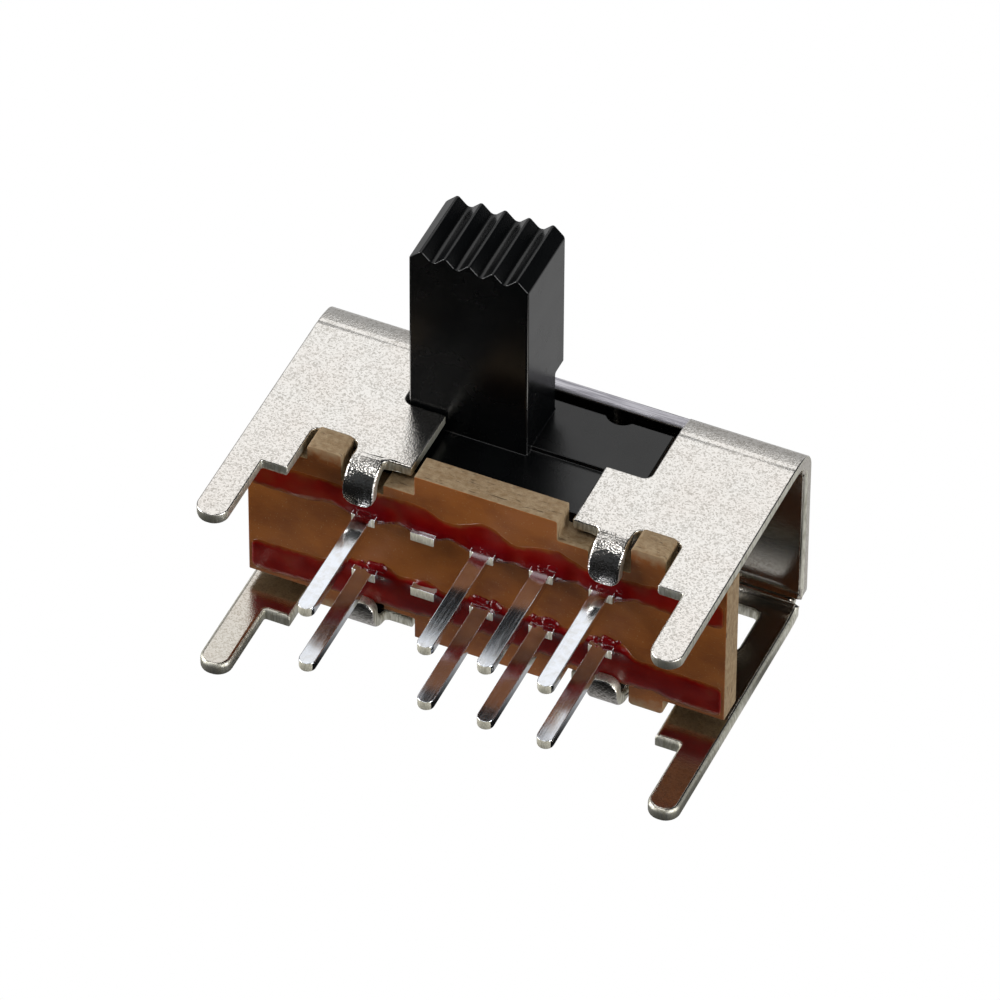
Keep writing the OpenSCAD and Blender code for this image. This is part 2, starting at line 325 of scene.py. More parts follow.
def end_tree(tree: Tree, geometry: Node, finish: Socket) -> None:
    """Ends a geometry node tree with whole meshes in their finish.

    Args:
        tree: The tree.
        geometry: The node that gives the shape.
        finish: The finish.
    """
    whole = add(tree, "GeometryNodeRealizeInstances", {"Geometry": geometry})
    dressed = add(tree, "GeometryNodeSetMaterial", {"Geometry": whole, "Material": finish})
    add(tree, "NodeGroupOutput", {"Geometry": dressed})


def geometry_piece(name: str, tree: Tree, values: dict, start: Shape | None = None) -> Piece:
    """Runs a geometry node tree and keeps the result as a plain mesh.

    Args:
        name: The piece's name.
        tree: The tree.
        values: Input name to value.
        start: The mesh that it starts from, if any.

    Returns:
        The piece.
    """
    piece = piece_from(name, start or bmesh.new())
    modifier = piece.modifiers.new(tree.name, "NODES")
    modifier.node_group = tree
    for item in tree.interface.items_tree:
        if item.item_type == "SOCKET" and item.in_out == "INPUT" and item.name in values:
            modifier[item.identifier] = values[item.name]
    apply_modifiers(piece)
    piece.data.shade_smooth()
    return piece


def towards(azimuth: float, elevation: float) -> Vector:
    """A direction from the switch: azimuth 0 is in front and 90 to the right, both in degrees."""
    around, up = math.radians(azimuth), math.radians(elevation)
    return Vector((math.sin(around) * math.cos(up), -math.cos(around) * math.cos(up), math.sin(up)))


def eased(share: float) -> float:
    """A share between 0 and 1 that leaves 0 and reaches 1 gently."""
    return share * share * (3 - 2 * share)


def waves(x: float, z: float, per_mm: Point, seed: float) -> float:
    """Soft random waves between -1 and 1, so many to the millimetre along X and Z."""
    return noise.noise(Vector((x * per_mm[0], z * per_mm[1], seed)))


# ----------------------------------------------------------------- patterns


def grain_space(tree: Tree, size_mm: Sizes) -> Node:
    """Object coordinates counted in grains.

    Args:
        tree: The material's node tree.
        size_mm: Size of one grain along X, Y and Z, in millimetres.

    Returns:
        The node that gives them to a texture of scale 1.
    """
    place = add(tree, "ShaderNodeTexCoord").outputs["Object"]
    scale = tuple(1 / (size * MM) for size in size_mm)
    return add(tree, "ShaderNodeMapping", {"Vector": place, "Scale": scale})


@dataclass(frozen=True)
class Spread:
    """A range of a pattern's values, stretched to another range and clamped.

    Args:
        pattern: The pattern's name.
        low: Value that becomes to_low.
        high: Value that becomes to_high.
        to_low: Result at low.
        to_high: Result at high.
    """

    pattern: str
    low: float
    high: float
    to_low: float = 0.0
    to_high: float = 1.0

    def inputs(self, values: Values) -> dict:
        """Inputs of the Map Range node that stretches it, from the patterns' values."""
        ends = {"From Min": self.low, "From Max": self.high, "To Min": self.to_low, "To Max": self.to_high}
        return {"Value": values[self.pattern], **ends}


@dataclass(frozen=True)
class Grain:
    """Soft random grain between 0 and 1.

    Args:
        name: Its name.
        size_mm: Size of one grain along X, Y and Z.
        detail: Number of finer layers.
        rough: Strength of the finer layers.
        warp: How much the grain is pulled about.
    """

    name: str
    size_mm: Sizes
    detail: float = 2.0
    rough: float = 0.55
    warp: float = 0.0

    def lay(self, tree: Tree) -> Values:
        """Adds the grain to a material.

        Args:
            tree: The material's node tree.

        Returns:
            Its name to its value.
        """
        inputs = {
            "Vector": grain_space(tree, self.size_mm),
            "Scale": 1.0,
            "Detail": self.detail,
            "Roughness": self.rough,
            "Distortion": self.warp,
        }
        return {self.name: add(tree, "ShaderNodeTexNoise", inputs)}


@dataclass(frozen=True)
class Crystals:
    """Packed crystals: "hollow" is the distance from a crystal's middle, "chance" its random number.

    Args:
        size_mm: Size of one crystal.
    """

    size_mm: float

    def lay(self, tree: Tree) -> Values:
        """Adds the crystals to a material.

        Args:
            tree: The material's node tree.

        Returns:
            The names of both patterns to their values.
        """
        space = grain_space(tree, (self.size_mm,) * 3)
        cells = add(tree, "ShaderNodeTexVoronoi", {"Vector": space, "Scale": 1.0, "Randomness": 1.0})
        chance = add(tree, "ShaderNodeSeparateColor", {"Color": cells.outputs["Color"]})
        return {"hollow": cells, "chance": chance}


@dataclass(frozen=True)
class StrainedEars:
    """How far the punch has strained the board's layers white at the ends of its ears, from 0 to 1.

    Args:
        middle_mm: Height of the board's middle.
        ears_mm: Where the ears start along X, and how far from the middle they turn pale and are white.
        soft_mm: Half the width over which the ears start.
        tear: The ragged edge of the strain.
        torn_mm: How far that edge wanders.
    """

    middle_mm: float = 3.7
    ears_mm: Sizes = (3.0, 2.9, 3.4)
    soft_mm: float = 0.1
    tear: Grain = Grain("tear", (0.3,) * 3, detail=3.0)
    torn_mm: float = 0.2

    def lay(self, tree: Tree) -> Values:
        """Adds the strain to a material.

        Args:
            tree: The material's node tree.

        Returns:
            Its name to its value.
        """
        start, pale, white = self.ears_mm
        place = add(tree, "ShaderNodeSeparateXYZ", {"Vector": grain_space(tree, (1.0,) * 3)}).outputs
        side = add(tree, "ShaderNodeMath", {0: place["X"]}, operation="ABSOLUTE")
        height = add(tree, "ShaderNodeMath", {0: place["Z"], 1: self.middle_mm}, operation="SUBTRACT")
        reach = add(tree, "ShaderNodeMath", {0: height}, operation="ABSOLUTE")
        values = {"side": side, **self.tear.lay(tree)}
        wander = Spread("tear", 0.3, 0.7, -self.torn_mm, self.torn_mm)
        torn = add(tree, "ShaderNodeMapRange", wander.inputs(values))
        ragged = add(tree, "ShaderNodeMath", {0: reach, 1: torn}, operation="ADD")
        ears = Spread("side", start - self.soft_mm, start + self.soft_mm)
        most = add(tree, "ShaderNodeMapRange", ears.inputs(values))
        inputs = {"Value": ragged, "From Min": pale, "From Max": white, "To Max": most}
        return {"strain": add(tree, "ShaderNodeMapRange", inputs)}


@dataclass(frozen=True)
class ResinDepth:
    """How thick the resin lies, from 0 to 1, as the "depth" attribute of its mesh says."""

    def lay(self, tree: Tree) -> Values:
        """Adds the depth to a material and gives its value."""
        return {"depth": add(tree, "ShaderNodeAttribute", attribute_name="depth").outputs["Fac"]}


@dataclass(frozen=True)
class Tint:
    """A colour laid over those below it where a pattern says so.

    Args:
        colour: The colour.
        share: How much of it there is.
        blend: How it is laid.
    """

    colour: str
    share: Spread
    blend: str = "MIX"


# ----------------------------------------------------------------- finishes


class Finish:
    """A finish whose colour, gloss and relief follow patterns of real sizes.

    Attributes:
        name: The material's name.
        colour: Its ground colour.
        patterns: Its patterns.
        tints: Colours laid over the ground, in order.
        gloss: Its roughness.
        reliefs: The patterns that stand out, the lowest first, and by how many millimetres.
        metallic: 1 for a metal.
        ior: Its index of refraction, or None to keep the usual one.
    """

    name: str
    colour: str
    patterns: tuple[Grain | Crystals | StrainedEars | ResinDepth, ...]
    tints: tuple[Tint, ...]
    gloss: Spread
    reliefs: tuple[tuple[str, float], ...] = ()
    metallic: float = 0.0
    ior: float | None = None

    def build(self) -> Material:
        """Builds the material around one Principled shader.

        Returns:
            The material.
        """
        made = bpy.data.materials.new(self.name)
        tree = bare_tree(made)
        values = {}
        for pattern in self.patterns:
            values.update(pattern.lay(tree))
        inputs = {"Base Color": self.colour, "Metallic": self.metallic}
        for tint in self.tints:
            share = add(tree, "ShaderNodeMapRange", tint.share.inputs(values))
            layers = {0: share, 6: inputs["Base Color"], 7: tint.colour}
            inputs["Base Color"] = add(tree, "ShaderNodeMix", layers, data_type="RGBA", blend_type=tint.blend)
        inputs["Roughness"] = add(tree, "ShaderNodeMapRange", self.gloss.inputs(values))
        for pattern, depth_mm in self.reliefs:
            relief = {"Height": values[pattern], "Distance": depth_mm * MM, "Strength": 1.0}
            below = {"Normal": inputs["Normal"]} if "Normal" in inputs else {}
            inputs["Normal"] = add(tree, "ShaderNodeBump", {**relief, **below})
        if self.ior is not None:
            inputs["IOR"] = self.ior
        shader = add(tree, "ShaderNodeBsdfPrincipled", inputs)
        add(tree, "ShaderNodeOutputMaterial", {"Surface": shader})
        return made


# Faint clouds of warmth in the nickel
NICKEL_WARMTH = Tint("#F4E6DE", Spread("clouds", 0.35, 0.7, 0.0, 0.2), "MULTIPLY")
NICKEL_CLOUDS = Grain("clouds", (1.6,) * 3, detail=3.0)


class MatteNickel(Finish):
    """Cold-rolled steel, stamped, then barrel-plated with matte nickel.

    The eye sees a satin warm silver whose fine crystals sparkle, and darker flecks between them.
    """

    name = "matte_nickel_plate"
    colour = "#C2BEB7"
    # The crystals are a few hundredths of a millimetre, drawn a little coarser so that they show
    patterns = (Crystals(0.048), NICKEL_CLOUDS)
    tints = (Tint("#F2EFEA", Spread("chance", 0.0, 0.6)), NICKEL_WARMTH)
    gloss = Spread("chance", 0.0, 1.0, 0.21, 0.11)
    reliefs = (("hollow", 0.0034),)
    metallic = 1.0


class SmoothNickel(MatteNickel):
    """The same nickel on the inner faces, which the tools have not touched.

    The eye sees a yellower, smoother silver that mirrors the board.
    """

    name = "smooth_nickel_plate"
    colour = "#BDB6AA"
    tints = (Tint("#DAD5CC", Spread("chance", 0.0, 0.6)), NICKEL_WARMTH)
    gloss = Spread("chance", 0.0, 1.0, 0.2, 0.1)
    reliefs = (("hollow", 0.0016),)


class StrainedNickelPaintedShade(MatteNickel):
    """The same nickel on the crimp tabs, roughened where their bending stretched the steel, and painted
    darker as shade.

    The eye sees a hammered skin with bright sparks along the bend.
    """

    name = "strained_nickel_painted_shade"
    # Painted shade: darker than the plate's colour, for the shade that the tabs mirror
    colour = "#A8A49D"
    patterns = (Crystals(0.06), NICKEL_CLOUDS)
    reliefs = (("hollow", 0.009),)


class ShearedNickel(Finish):
    """The same nickel on punched edges, where it lies over the drag lines of the shear.

    The eye sees a soft cream-grey shine, streaked across the thickness of the sheet.
    """

    name = "sheared_nickel_edge"
    colour = "#BFBCAC"
    patterns = (Grain("drag", (0.09, 0.09, 0.5)),)
    tints = (Tint("#F0EEE2", Spread("drag", 0.35, 0.62)),)
    gloss = Spread("drag", 0.3, 0.7, 0.6, 0.45)
    reliefs = (("drag", 0.005),)
    metallic = 1.0


class ShearedLip(ShearedNickel):
    """The same edge along the slot's lip, whose drag lines run along it.

    The eye sees a cooler grey with long streaks.
    """

    name = "sheared_nickel_lip"
    colour = "#B4B2BA"
    patterns = (Grain("drag", (1.2, 0.05, 0.09)),)
    tints = (Tint("#E4E2E8", Spread("drag", 0.35, 0.62)),)


class ShearedTin(ShearedNickel):
    """Brass strip, sheared through its tin plate, so that the plate is smeared over the cut.

    The eye sees a dull cream end with fine lines.
    """

    name = "sheared_tin_end"
    colour = "#D4CFBA"
    patterns = (Grain("drag", (0.05, 0.05, 0.25)),)
    tints = (Tint("#F2EEDC", Spread("drag", 0.35, 0.62)),)
    metallic = 0.2


class TinPlate(Finish):
    """Brass strip, stamped, then bright tin-plated.

    The eye sees a near mirror with faint rolling lines along each blade.
    """

    name = "bright_tin_plate"
    colour = "#EEF2F9"
    patterns = (
        Grain("lines", (0.05, 1.4, 0.05), detail=3.0, rough=0.6),
        Grain("spots", (0.3,) * 3, detail=3.0),
    )
    tints = (Tint("#D9D8D6", Spread("spots", 0.42, 0.68, 0.0, 0.5)),)
    gloss = Spread("lines", 0.3, 0.7, 0.09, 0.17)
    reliefs = (("lines", 0.0005),)
    metallic = 1.0


class PhenolicFace(Finish):
    """Paper-phenolic laminate, hot-pressed between polished plates.

    The eye sees an even, slightly cloudy, amber brown with a soft resin gloss and pale paper flecks,
    whitened where the punch has strained the layers at the ends of the ears.
    """

    name = "paper_phenolic_face"
    colour = "#854B22"
    patterns = (
        Grain("clouds", (1.8, 1.8, 1.2), detail=4.0),
        Grain("fibres", (0.5, 0.08, 0.09)),
        Grain("specks", (0.06,) * 3, detail=1.0),
        Grain("scuffs", (0.28, 0.5, 0.05), detail=1.0, warp=0.6),
        StrainedEars(),
    )
    tints = (
        Tint("#A05E28", Spread("clouds", 0.38, 0.62)),
        Tint("#A05E28", Spread("fibres", 0.45, 0.8, 0.0, 0.35)),
        Tint("#B8946A", Spread("specks", 0.68, 0.76, 0.0, 0.7)),
        Tint("#B8946A", Spread("scuffs", 0.74, 0.8, 0.0, 0.5)),
        Tint("#AA8E6C", Spread("strain", 0.0, 1.0)),
    )
    gloss = Spread("clouds", 0.3, 0.7, 0.36, 0.46)
    reliefs = (("fibres", 0.004), ("specks", 0.004))
    ior = 1.55


class PhenolicCut(Finish):
    """Paper-phenolic laminate, punched through its layers.

    The eye sees dry, pale, torn paper with short dark resin streaks along the layers.
    """

    name = "paper_phenolic_cut_edge"
    colour = "#8F7452"
    # Layers are a fifth of a millimetre thick and torn in shreds half a millimetre long
    patterns = (
        Grain("layers", (0.7, 0.12, 0.7), detail=4.0, rough=0.7, warp=0.5),
        Grain("shreds", (0.22, 0.16, 0.22), detail=4.0, rough=0.7),
    )
    tints = (
        Tint("#AB9474", Spread("shreds", 0.36, 0.62)),
        Tint("#503C29", Spread("layers", 0.42, 0.32, 0.0, 0.85)),
    )
    gloss = Spread("shreds", 0.3, 0.7, 0.65, 0.85)
    reliefs = (("layers", 0.04), ("shreds", 0.04))
    ior = 1.5


class RedResin(Finish):
    """Thin red epoxy, brushed on wet so that it wicks round the terminals, then cured.

    The eye sees the brown board through its thin margins, a brick red film, a deep blood red where
    it is thick, and wet highlights on its lumps.
    """

    name = "red_epoxy"
    colour = "#85481B"
    patterns = (
        ResinDepth(),
        Grain("clouds", (0.5,) * 3, detail=4.0),
        Grain("lumps", (0.12,) * 3),
    )
    tints = (
        Tint("#802814", Spread("depth", 0.0, 0.3)),
        Tint("#84140A", Spread("depth", 0.3, 0.5)),
        Tint("#760A08", Spread("depth", 0.5, 0.75)),
        Tint("#70050B", Spread("depth", 0.75, 1.0)),
        Tint("#D8B0A0", Spread("clouds", 0.35, 0.65, 0.0, 0.45), "MULTIPLY"),
    )
    gloss = Spread("depth", 0.4, 0.85, 0.26, 0.14)
    reliefs = (("lumps", 0.006),)
    ior = 1.55


class BlackAbs(Finish):
    """Black ABS, injection-moulded in a lightly spark-eroded mould.

    The eye sees a cool near-black with a soft sheen, finer than its few handling marks.
    """

    name = "black_abs"
    colour = "#020304"
    patterns = (
        Grain("texture", (0.05,) * 3),
        Grain("clouds", (1.5,) * 3, detail=3.0),
        Grain("pits", (0.09, 0.09, 0.12), detail=1.0),
    )
    tints = (Tint("#202222", Spread("pits", 0.72, 0.8, 0.0, 0.3)),)
    gloss = Spread("clouds", 0.35, 0.65, 0.23, 0.29)
    reliefs = (("texture", 0.0012), ("pits", 0.0015))
    ior = 1.53


class SpringBronze(Finish):
    """Phosphor-bronze strip, bent and left bare.

    The eye sees a warm copper gold with rolling lines along the strip.
    """

    name = "phosphor_bronze"
    colour = "#D9A066"
    patterns = (Grain("lines", (1.2, 0.05, 0.05), detail=3.0),)
    tints = (Tint("#B97F4A", Spread("lines", 0.4, 0.7)),)
    gloss = Spread("lines", 0.3, 0.7, 0.18, 0.32)
    reliefs = (("lines", 0.003),)
    metallic = 1.0


class PolishedSteel(Finish):
    """Hardened chrome-steel ball, lapped, under a film of grease.

    The eye sees a grey mirror with a few smears.
    """

    name = "lapped_ball_steel"
    colour = "#C9CBCD"
    patterns = (Grain("smears", (0.35,) * 3, detail=3.0),)
    tints = (Tint("#A9A59A", Spread("smears", 0.5, 0.7)),)
    gloss = Spread("smears", 0.4, 0.7, 0.06, 0.2)
    metallic = 1.0


class DrawnWire(Finish):
    """Music wire, drawn through a die and left oiled.

    The eye sees a dark steel grey with fine lines round the wire.
    """

    name = "drawn_spring_wire"
    colour = "#9A9C9E"
    patterns = (Grain("lines", (0.04, 0.3, 0.04)),)
    tints = (Tint("#6E6F70", Spread("lines", 0.35, 0.7)),)
    gloss = Spread("lines", 0.3, 0.7, 0.25, 0.4)
    reliefs = (("lines", 0.002),)
    metallic = 1.0


# ------------------------------------------------------------ sub-assemblies


@dataclass
class SteelFrame:
    """The folded frame, punched from its outer face, so that its inner edges are rolled over.

    Args:
        sheet_mm: Thickness of the sheet.
        ease_mm: Outer radius of the gentle part of its two folds.
        ease_start_mm: How far from the back wall that part starts.
        corner_mm: Outer radius of the tight part, which is also its middle from the back wall.
        corner_face_mm: How far from the plate the middle of the tight part is.
        lip_mm: Reach of the upright lip along the slot: half its length, and its depth from the plate.
        tab_mm: Reach of the crimp tabs: from the back wall, and from the middle of the switch.
        tab_bend_mm: Outer radius of their bends.
        roll_mm: Width of the rolled edge that the punch leaves on the inner face.
        burr: Width of the sharper outer edge, as a share of the rolled edge.
        tab_edge: Width of the outer edge of the crimp tabs, likewise.
        near_mm: Spots nearer than this to a place count as on it.
        die_mark_mm: The shallow line that the bending die presses beside each fold: its distance from
            the back wall, half its width, and its depth.
    """

    sheet_mm: float = 0.45
    ease_mm: float = 3.2
    ease_start_mm: float = 1.42
    corner_mm: float = 0.8
    corner_face_mm: float = 0.87
    lip_mm: Point = (4.15, 0.5)
    tab_mm: Point = (6.05, 4.7)
    tab_bend_mm: float = 0.95
    roll_mm: float = 0.15
    burr: float = 0.35
    tab_edge: float = 0.6
    near_mm: float = 0.05
    die_mark_mm: Sizes = (1.24, 0.13, 0.012)

    def __post_init__(self) -> None:
        """Takes the frame's corners from the CAD."""
        self.low, self.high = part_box("frame")

    def place(self, spot: Vector) -> Sizes:
        """Millimetres from a spot to the back wall, to the nearer plate and to the middle."""
        face = min(self.high.z - spot.z, spot.z - self.low.z)
        return (self.high.y - spot.y) / MM, face / MM, abs(spot.x) / MM

    def on_tab(self, spot: Vector) -> bool:
        """Whether a spot lies on a crimp tab."""
        back, _, across = self.place(spot)
        return back > self.tab_mm[0] and across < self.tab_mm[1]

    def depth(self, spot: Vector) -> float:
        """Depth of a spot under the outer skin.

        Args:
            spot: The spot in metres.

        Returns:
            The depth in millimetres.
        """
        back, face, across = self.place(spot)
        if self.on_tab(spot):
            bend = self.tab_bend_mm
            return bend - math.hypot(back - self.tab_mm[0], max(0.0, bend - face))
        if back > self.ease_start_mm:
            return face
        if across < self.lip_mm[0] and face > self.lip_mm[1] and back < self.corner_mm:
            return back
        depth = self.ease_mm - math.hypot(self.ease_start_mm - back, max(0.0, self.ease_mm - face))
        if back < self.corner_mm:
            tight = max(0.0, self.corner_face_mm - face)
            depth = min(depth, self.corner_mm - math.hypot(self.corner_mm - back, tight))
        return depth

    def skin(self, spot: Vector) -> Skin:
        """Which skin of the sheet a spot lies on.

        Args:
            spot: The spot in metres.

        Returns:
            The skin.
        """
        depth = self.depth(spot)
        near = 0.08 * self.sheet_mm
        if depth < near:
            return Skin.TAB if self.on_tab(spot) else Skin.OUTSIDE
        if depth > self.sheet_mm - near:
            return Skin.INSIDE
        back, face, across = self.place(spot)
        inside_slot = self.lip_mm[0] - 0.02
        on_lip = across < inside_slot and face > self.lip_mm[1] and back < self.sheet_mm
        return Skin.LIP if on_lip else Skin.CUT

    def press_die_marks(self, shape: Shape) -> None:
        """Presses the die's shallow line into the outer skin beside both folds.

        Args:
            shape: The frame's shape.
        """
        middle, half, deep = self.die_mark_mm
        cuts, skin = 8, 0.05 * self.sheet_mm
        for i in range(cuts + 1):
            back = middle + half * (2 * i / cuts - 1)
            bmesh.ops.bisect_plane(
                shape,
                geom=[*shape.verts, *shape.edges, *shape.faces],
                plane_co=(0.0, self.high.y - back * MM, 0.0),
                plane_no=(0.0, 1.0, 0.0),
            )
        for vert in shape.verts:
            back, face, _ = self.place(vert.co)
            if abs(back - middle) < half and self.depth(vert.co) < skin:
                fall = deep * math.cos(math.pi / 2 * (back - middle) / half) ** 2 * MM
                vert.co.z += fall if vert.co.z < (self.low.z + self.high.z) / 2 else -fall

    def build(self, finishes: dict[Skin, Material]) -> None:
        """Builds and dresses the frame.

        Args:
            finishes: Finish of each skin.
        """
        shape = solid_copy("frame")
        self.press_die_marks(shape)
        weight = shape.edges.layers.float.new("bevel_weight_edge")
        for edge in shape.edges:
            if len(edge.link_faces) == 2 and edge.calc_face_angle() > math.radians(SHARP):
                middle = (edge.verts[0].co + edge.verts[1].co) / 2
                back, _, across = self.place(middle)
                outer = self.tab_edge if self.on_tab(middle) else self.burr
                beside_end = abs(across - self.lip_mm[0]) < self.near_mm
                if not (beside_end and back < self.sheet_mm + self.near_mm):
                    edge[weight] = 1.0 if self.skin(middle) is Skin.INSIDE else outer
        piece = piece_from("stamped_frame", shape)
        round_edges(piece, self.roll_mm, segments=3, weighted=True)
        smooth(piece)
        dress(piece, [finishes[skin] for skin in Skin], lambda face: self.skin(face.center).value)
        finish_piece(piece, Body.HOUSING, ("frame",))


@dataclass
class TerminalBoard:
    """The punched laminate board: smooth pressed faces and torn cut edges.

    Args:
        edge_mm: Width of the worn edge between a face and a cut.
        facing: A pressed face looks along Y at least this much.
    """

    edge_mm: float = 0.04
    facing: float = 0.9

    def build(self, face: Material, cut: Material) -> None:
        """Builds and dresses the board.

        Args:
            face: Finish of the pressed faces.
            cut: Finish of the cut edges.
        """
        piece = rounded_solid("laminate_board", "terminal_board", self.edge_mm)
        dress(piece, (face, cut), lambda polygon: int(abs(polygon.normal.y) <= self.facing))
        finish_piece(piece, Body.HOUSING, ("terminal_board",))


@dataclass
class Terminals:
    """The eight tinned terminals, each with its edges dulled by the plating.

    Args:
        edge_mm: Width of the edge rounding.
        facing: A sheared end looks to the front at least this much.
    """

    edge_mm: float = 0.03
    facing: float = 0.6

    def nodes(self) -> list[str]:
        """Names of the terminal nodes, common ones first."""
        common = [f"common_terminal_{row.value}" for row in Row]
        return common + [f"throw_terminal_{row.value}_{place}" for row in Row for place in (1, 2, 3)]

    def build(self, plate: Material, cut: Material) -> None:
        """Builds and dresses the terminals.

        Args:
            plate: Their finish.
            cut: Finish of their sheared ends.
        """
        for node in self.nodes():
            piece = rounded_solid(node.replace("terminal", "blade"), node, self.edge_mm)
            dress(piece, (plate, cut), lambda polygon: int(polygon.normal.y < -self.facing))
            finish_piece(piece, Body.HOUSING, (node,))

    def roots(self, row: Row) -> list[float]:
        """Places along X of a row's roots, in metres.

        Args:
            row: The row.

        Returns:
            The stub's place, then the pins' places from left to right.
        """
        low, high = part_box(f"common_terminal_{row.value}")
        throws = [sum(c.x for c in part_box(f"throw_terminal_{row.value}_{i}")) / 2 for i in (1, 2, 3)]
        pitch = throws[1] - throws[0]
        common = (low.x + high.x) / 2
        return [throws[0] - pitch, common, *throws]

    def row_height(self, row: Row) -> float:
        """Height of a row's middle, in metres."""
        low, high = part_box(f"throw_terminal_{row.value}_1")
        return (low.z + high.z) / 2


@dataclass
class ResinSeal:
    """One band of red resin: thin at its wavy margins, drawn up round the roots of the terminals.

    Args:
        row: The row of terminals that it seals.
        top_mm: Its upper margin, as places along X and heights.
        bottom_mm: Its lower margin, likewise.
        tint: Depth of its colour where it lies plain, from 0 to 1.
        film_mm: Thickness of the plain film.
        climb_mm: How far it climbs the roots.
        step_mm: Size of its mesh steps along X.
        across: Number of its mesh steps along Z.
        fade_mm: How far in from its margins the colour reaches its full depth.
        end_mm: How far its rounded ends reach.
        end_height: Height of its ends, as a share of its height beside them.
        bed_mm: How deep it is set in the board.
        skin_mm: Thickness at its margins.
        uneven: How much its thickness and its colour vary.
        fray_mm: How far the colour of its margins wanders.
        ripple_mm: How far the whole band wanders up and down.
        flat_mm: Flat middle of the swelling round a root, as how far it lies to the right of and above
            the root, and half its width and height.
        halo_mm: Reach of the swelling from there.
        halo_tint: Depth of colour that a root adds.
    """

    row: Row
    top_mm: tuple[Point, ...]
    bottom_mm: tuple[Point, ...]
    tint: float
    film_mm: float = 0.02
    climb_mm: float = 0.1
    step_mm: float = 0.06
    across: int = 32
    fade_mm: float = 0.2
    end_mm: float = 0.25
    end_height: float = 0.75
    bed_mm: float = 0.02
    skin_mm: float = 0.004
    uneven: float = 0.5
    fray_mm: float = 0.07
    ripple_mm: float = 0.06
    flat_mm: tuple[Point, Point] = ((0.14, 0.2), (0.5, 0.12))
    halo_mm: float = 0.26
    halo_tint: float = 0.62

    def margin(self, line: tuple[Point, ...], x: float) -> float:
        """Height of a margin at a place.

        Args:
            line: The margin's points.
            x: Place along X in millimetres.

        Returns:
            The height in millimetres.
        """
        if x <= line[0][0]:
            return line[0][1]
        for (x0, z0), (x1, z1) in zip(line, line[1:]):
            if x <= x1:
                share = (x - x0) / (x1 - x0)
                return z0 + (z1 - z0) * eased(share)
        return line[-1][1]

    def lie(self, x: float, z: float, inset: float, roots: list[Point]) -> Point:
        """How the resin lies at a place.

        Args:
            x: Place along X in millimetres.
            z: Height in millimetres.
            inset: Distance from the nearer margin in millimetres.
            roots: Middles of the roots.

        Returns:
            Its thickness in millimetres, and the depth of its colour from 0 to 1.
        """
        thicker = self.uneven * waves(x, z, (0.9, 0.9), seed=3.1)
        darker = self.uneven * waves(x, z, (1.7, 2.3), seed=5.3)
        fray = self.fray_mm * waves(x, z, (5.0, 5.0), seed=1.3)
        (right, up), (half_width, half_height) = self.flat_mm
        near = 0.0
        for root_x, root_z in roots:
            beside = max(0.0, abs(x - root_x - right) - half_width)
            above = max(0.0, abs(z - root_z - up) - half_height)
            near = max(near, math.exp(-((math.hypot(beside, above) / self.halo_mm) ** 1.5)))
        fade = eased(min(1.0, max(0.0, inset + fray) / self.fade_mm))
        thick = fade * (self.film_mm * (1 + thicker) + self.climb_mm * near)
        depth = fade * (self.tint * (1 + darker) + self.halo_tint * near)
        return self.skin_mm + thick, min(1.0, max(0.0, depth))

    def build(self, resin: Material, terminals: Terminals) -> None:
        """Builds and dresses the band.

        Args:
            resin: Its finish.
            terminals: The terminals that it seals.
        """
        node = f"seal_{self.row.value}"
        low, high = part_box(node)
        row_z = terminals.row_height(self.row) / MM
        roots = [(x / MM, row_z) for x in terminals.roots(self.row)]
        start, end = low.x / MM, high.x / MM
        across, along = self.across, round((end - start) / self.step_mm)
        shape = bmesh.new()
        depth = shape.verts.layers.float.new("depth")
        tops, beds = [], []
        for i in range(along + 1):
            x = start + (end - start) * i / along
            taper = min(1.0, (x - start) / self.end_mm, (end - x) / self.end_mm)
            round_end = math.sqrt(max(0.0, 1 - (1 - taper) ** 2))
            bottom, top = self.margin(self.bottom_mm, x), self.margin(self.top_mm, x)
            middle = (bottom + top) / 2 + self.ripple_mm * waves(x, 0.0, (2.3, 0.0), seed=1.7)
            half = (top - bottom) / 2 * (self.end_height + (1 - self.end_height) * round_end)
            # The colour fades faster towards the ends than towards the margins, and not all the way
            to_end = 2 * min(x - start, end - x) + 0.1
            tops.append([])
            beds.append([])
            for j in range(across + 1):
                share = j / across
                z = middle + half * (2 * share - 1)
                inset = min(half * (1 - abs(2 * share - 1)), to_end)
                thick, shade = self.lie(x, z, inset, roots)
                tops[i].append(shape.verts.new((x * MM, high.y - thick * MM, z * MM)))
                tops[i][j][depth] = shade
                beds[i].append(shape.verts.new((x * MM, high.y + self.bed_mm * MM, z * MM)))
        for i in range(along):
            for j in range(across):
                shape.faces.new((tops[i][j], tops[i + 1][j], tops[i + 1][j + 1], tops[i][j + 1]))
                shape.faces.new((beds[i][j], beds[i][j + 1], beds[i + 1][j + 1], beds[i + 1][j]))
            shape.faces.new((tops[i][0], beds[i][0], beds[i + 1][0], tops[i + 1][0]))
            shape.faces.new((tops[i][across], tops[i + 1][across], beds[i + 1][across], beds[i][across]))
        for j in range(across):
            shape.faces.new((tops[0][j], tops[0][j + 1], beds[0][j + 1], beds[0][j]))
            shape.faces.new((tops[along][j], beds[along][j], beds[along][j + 1], tops[along][j + 1]))
        bmesh.ops.recalc_face_normals(shape, faces=shape.faces)
        piece = piece_from(f"resin_band_{self.row.value}", shape)
        piece.data.shade_smooth()
        dress(piece, (resin,))
        finish_piece(piece, Body.HOUSING, (node,))


@dataclass(frozen=True)
class Lumps:
    """Lumps of resin strewn near each root, fused where they touch.

    Args:
        name: The piece's name.
        count: Number of lumps at each root.
        low_mm: Lowest corner of the space that they are strewn in, from the root's middle.
        high_mm: Highest corner.
        radius_mm: Smallest and largest radius.
        seed: Seed of the strewing.
    """

    name: str
    count: int
    low_mm: Sizes
    high_mm: Sizes
    radius_mm: Point
    seed: int


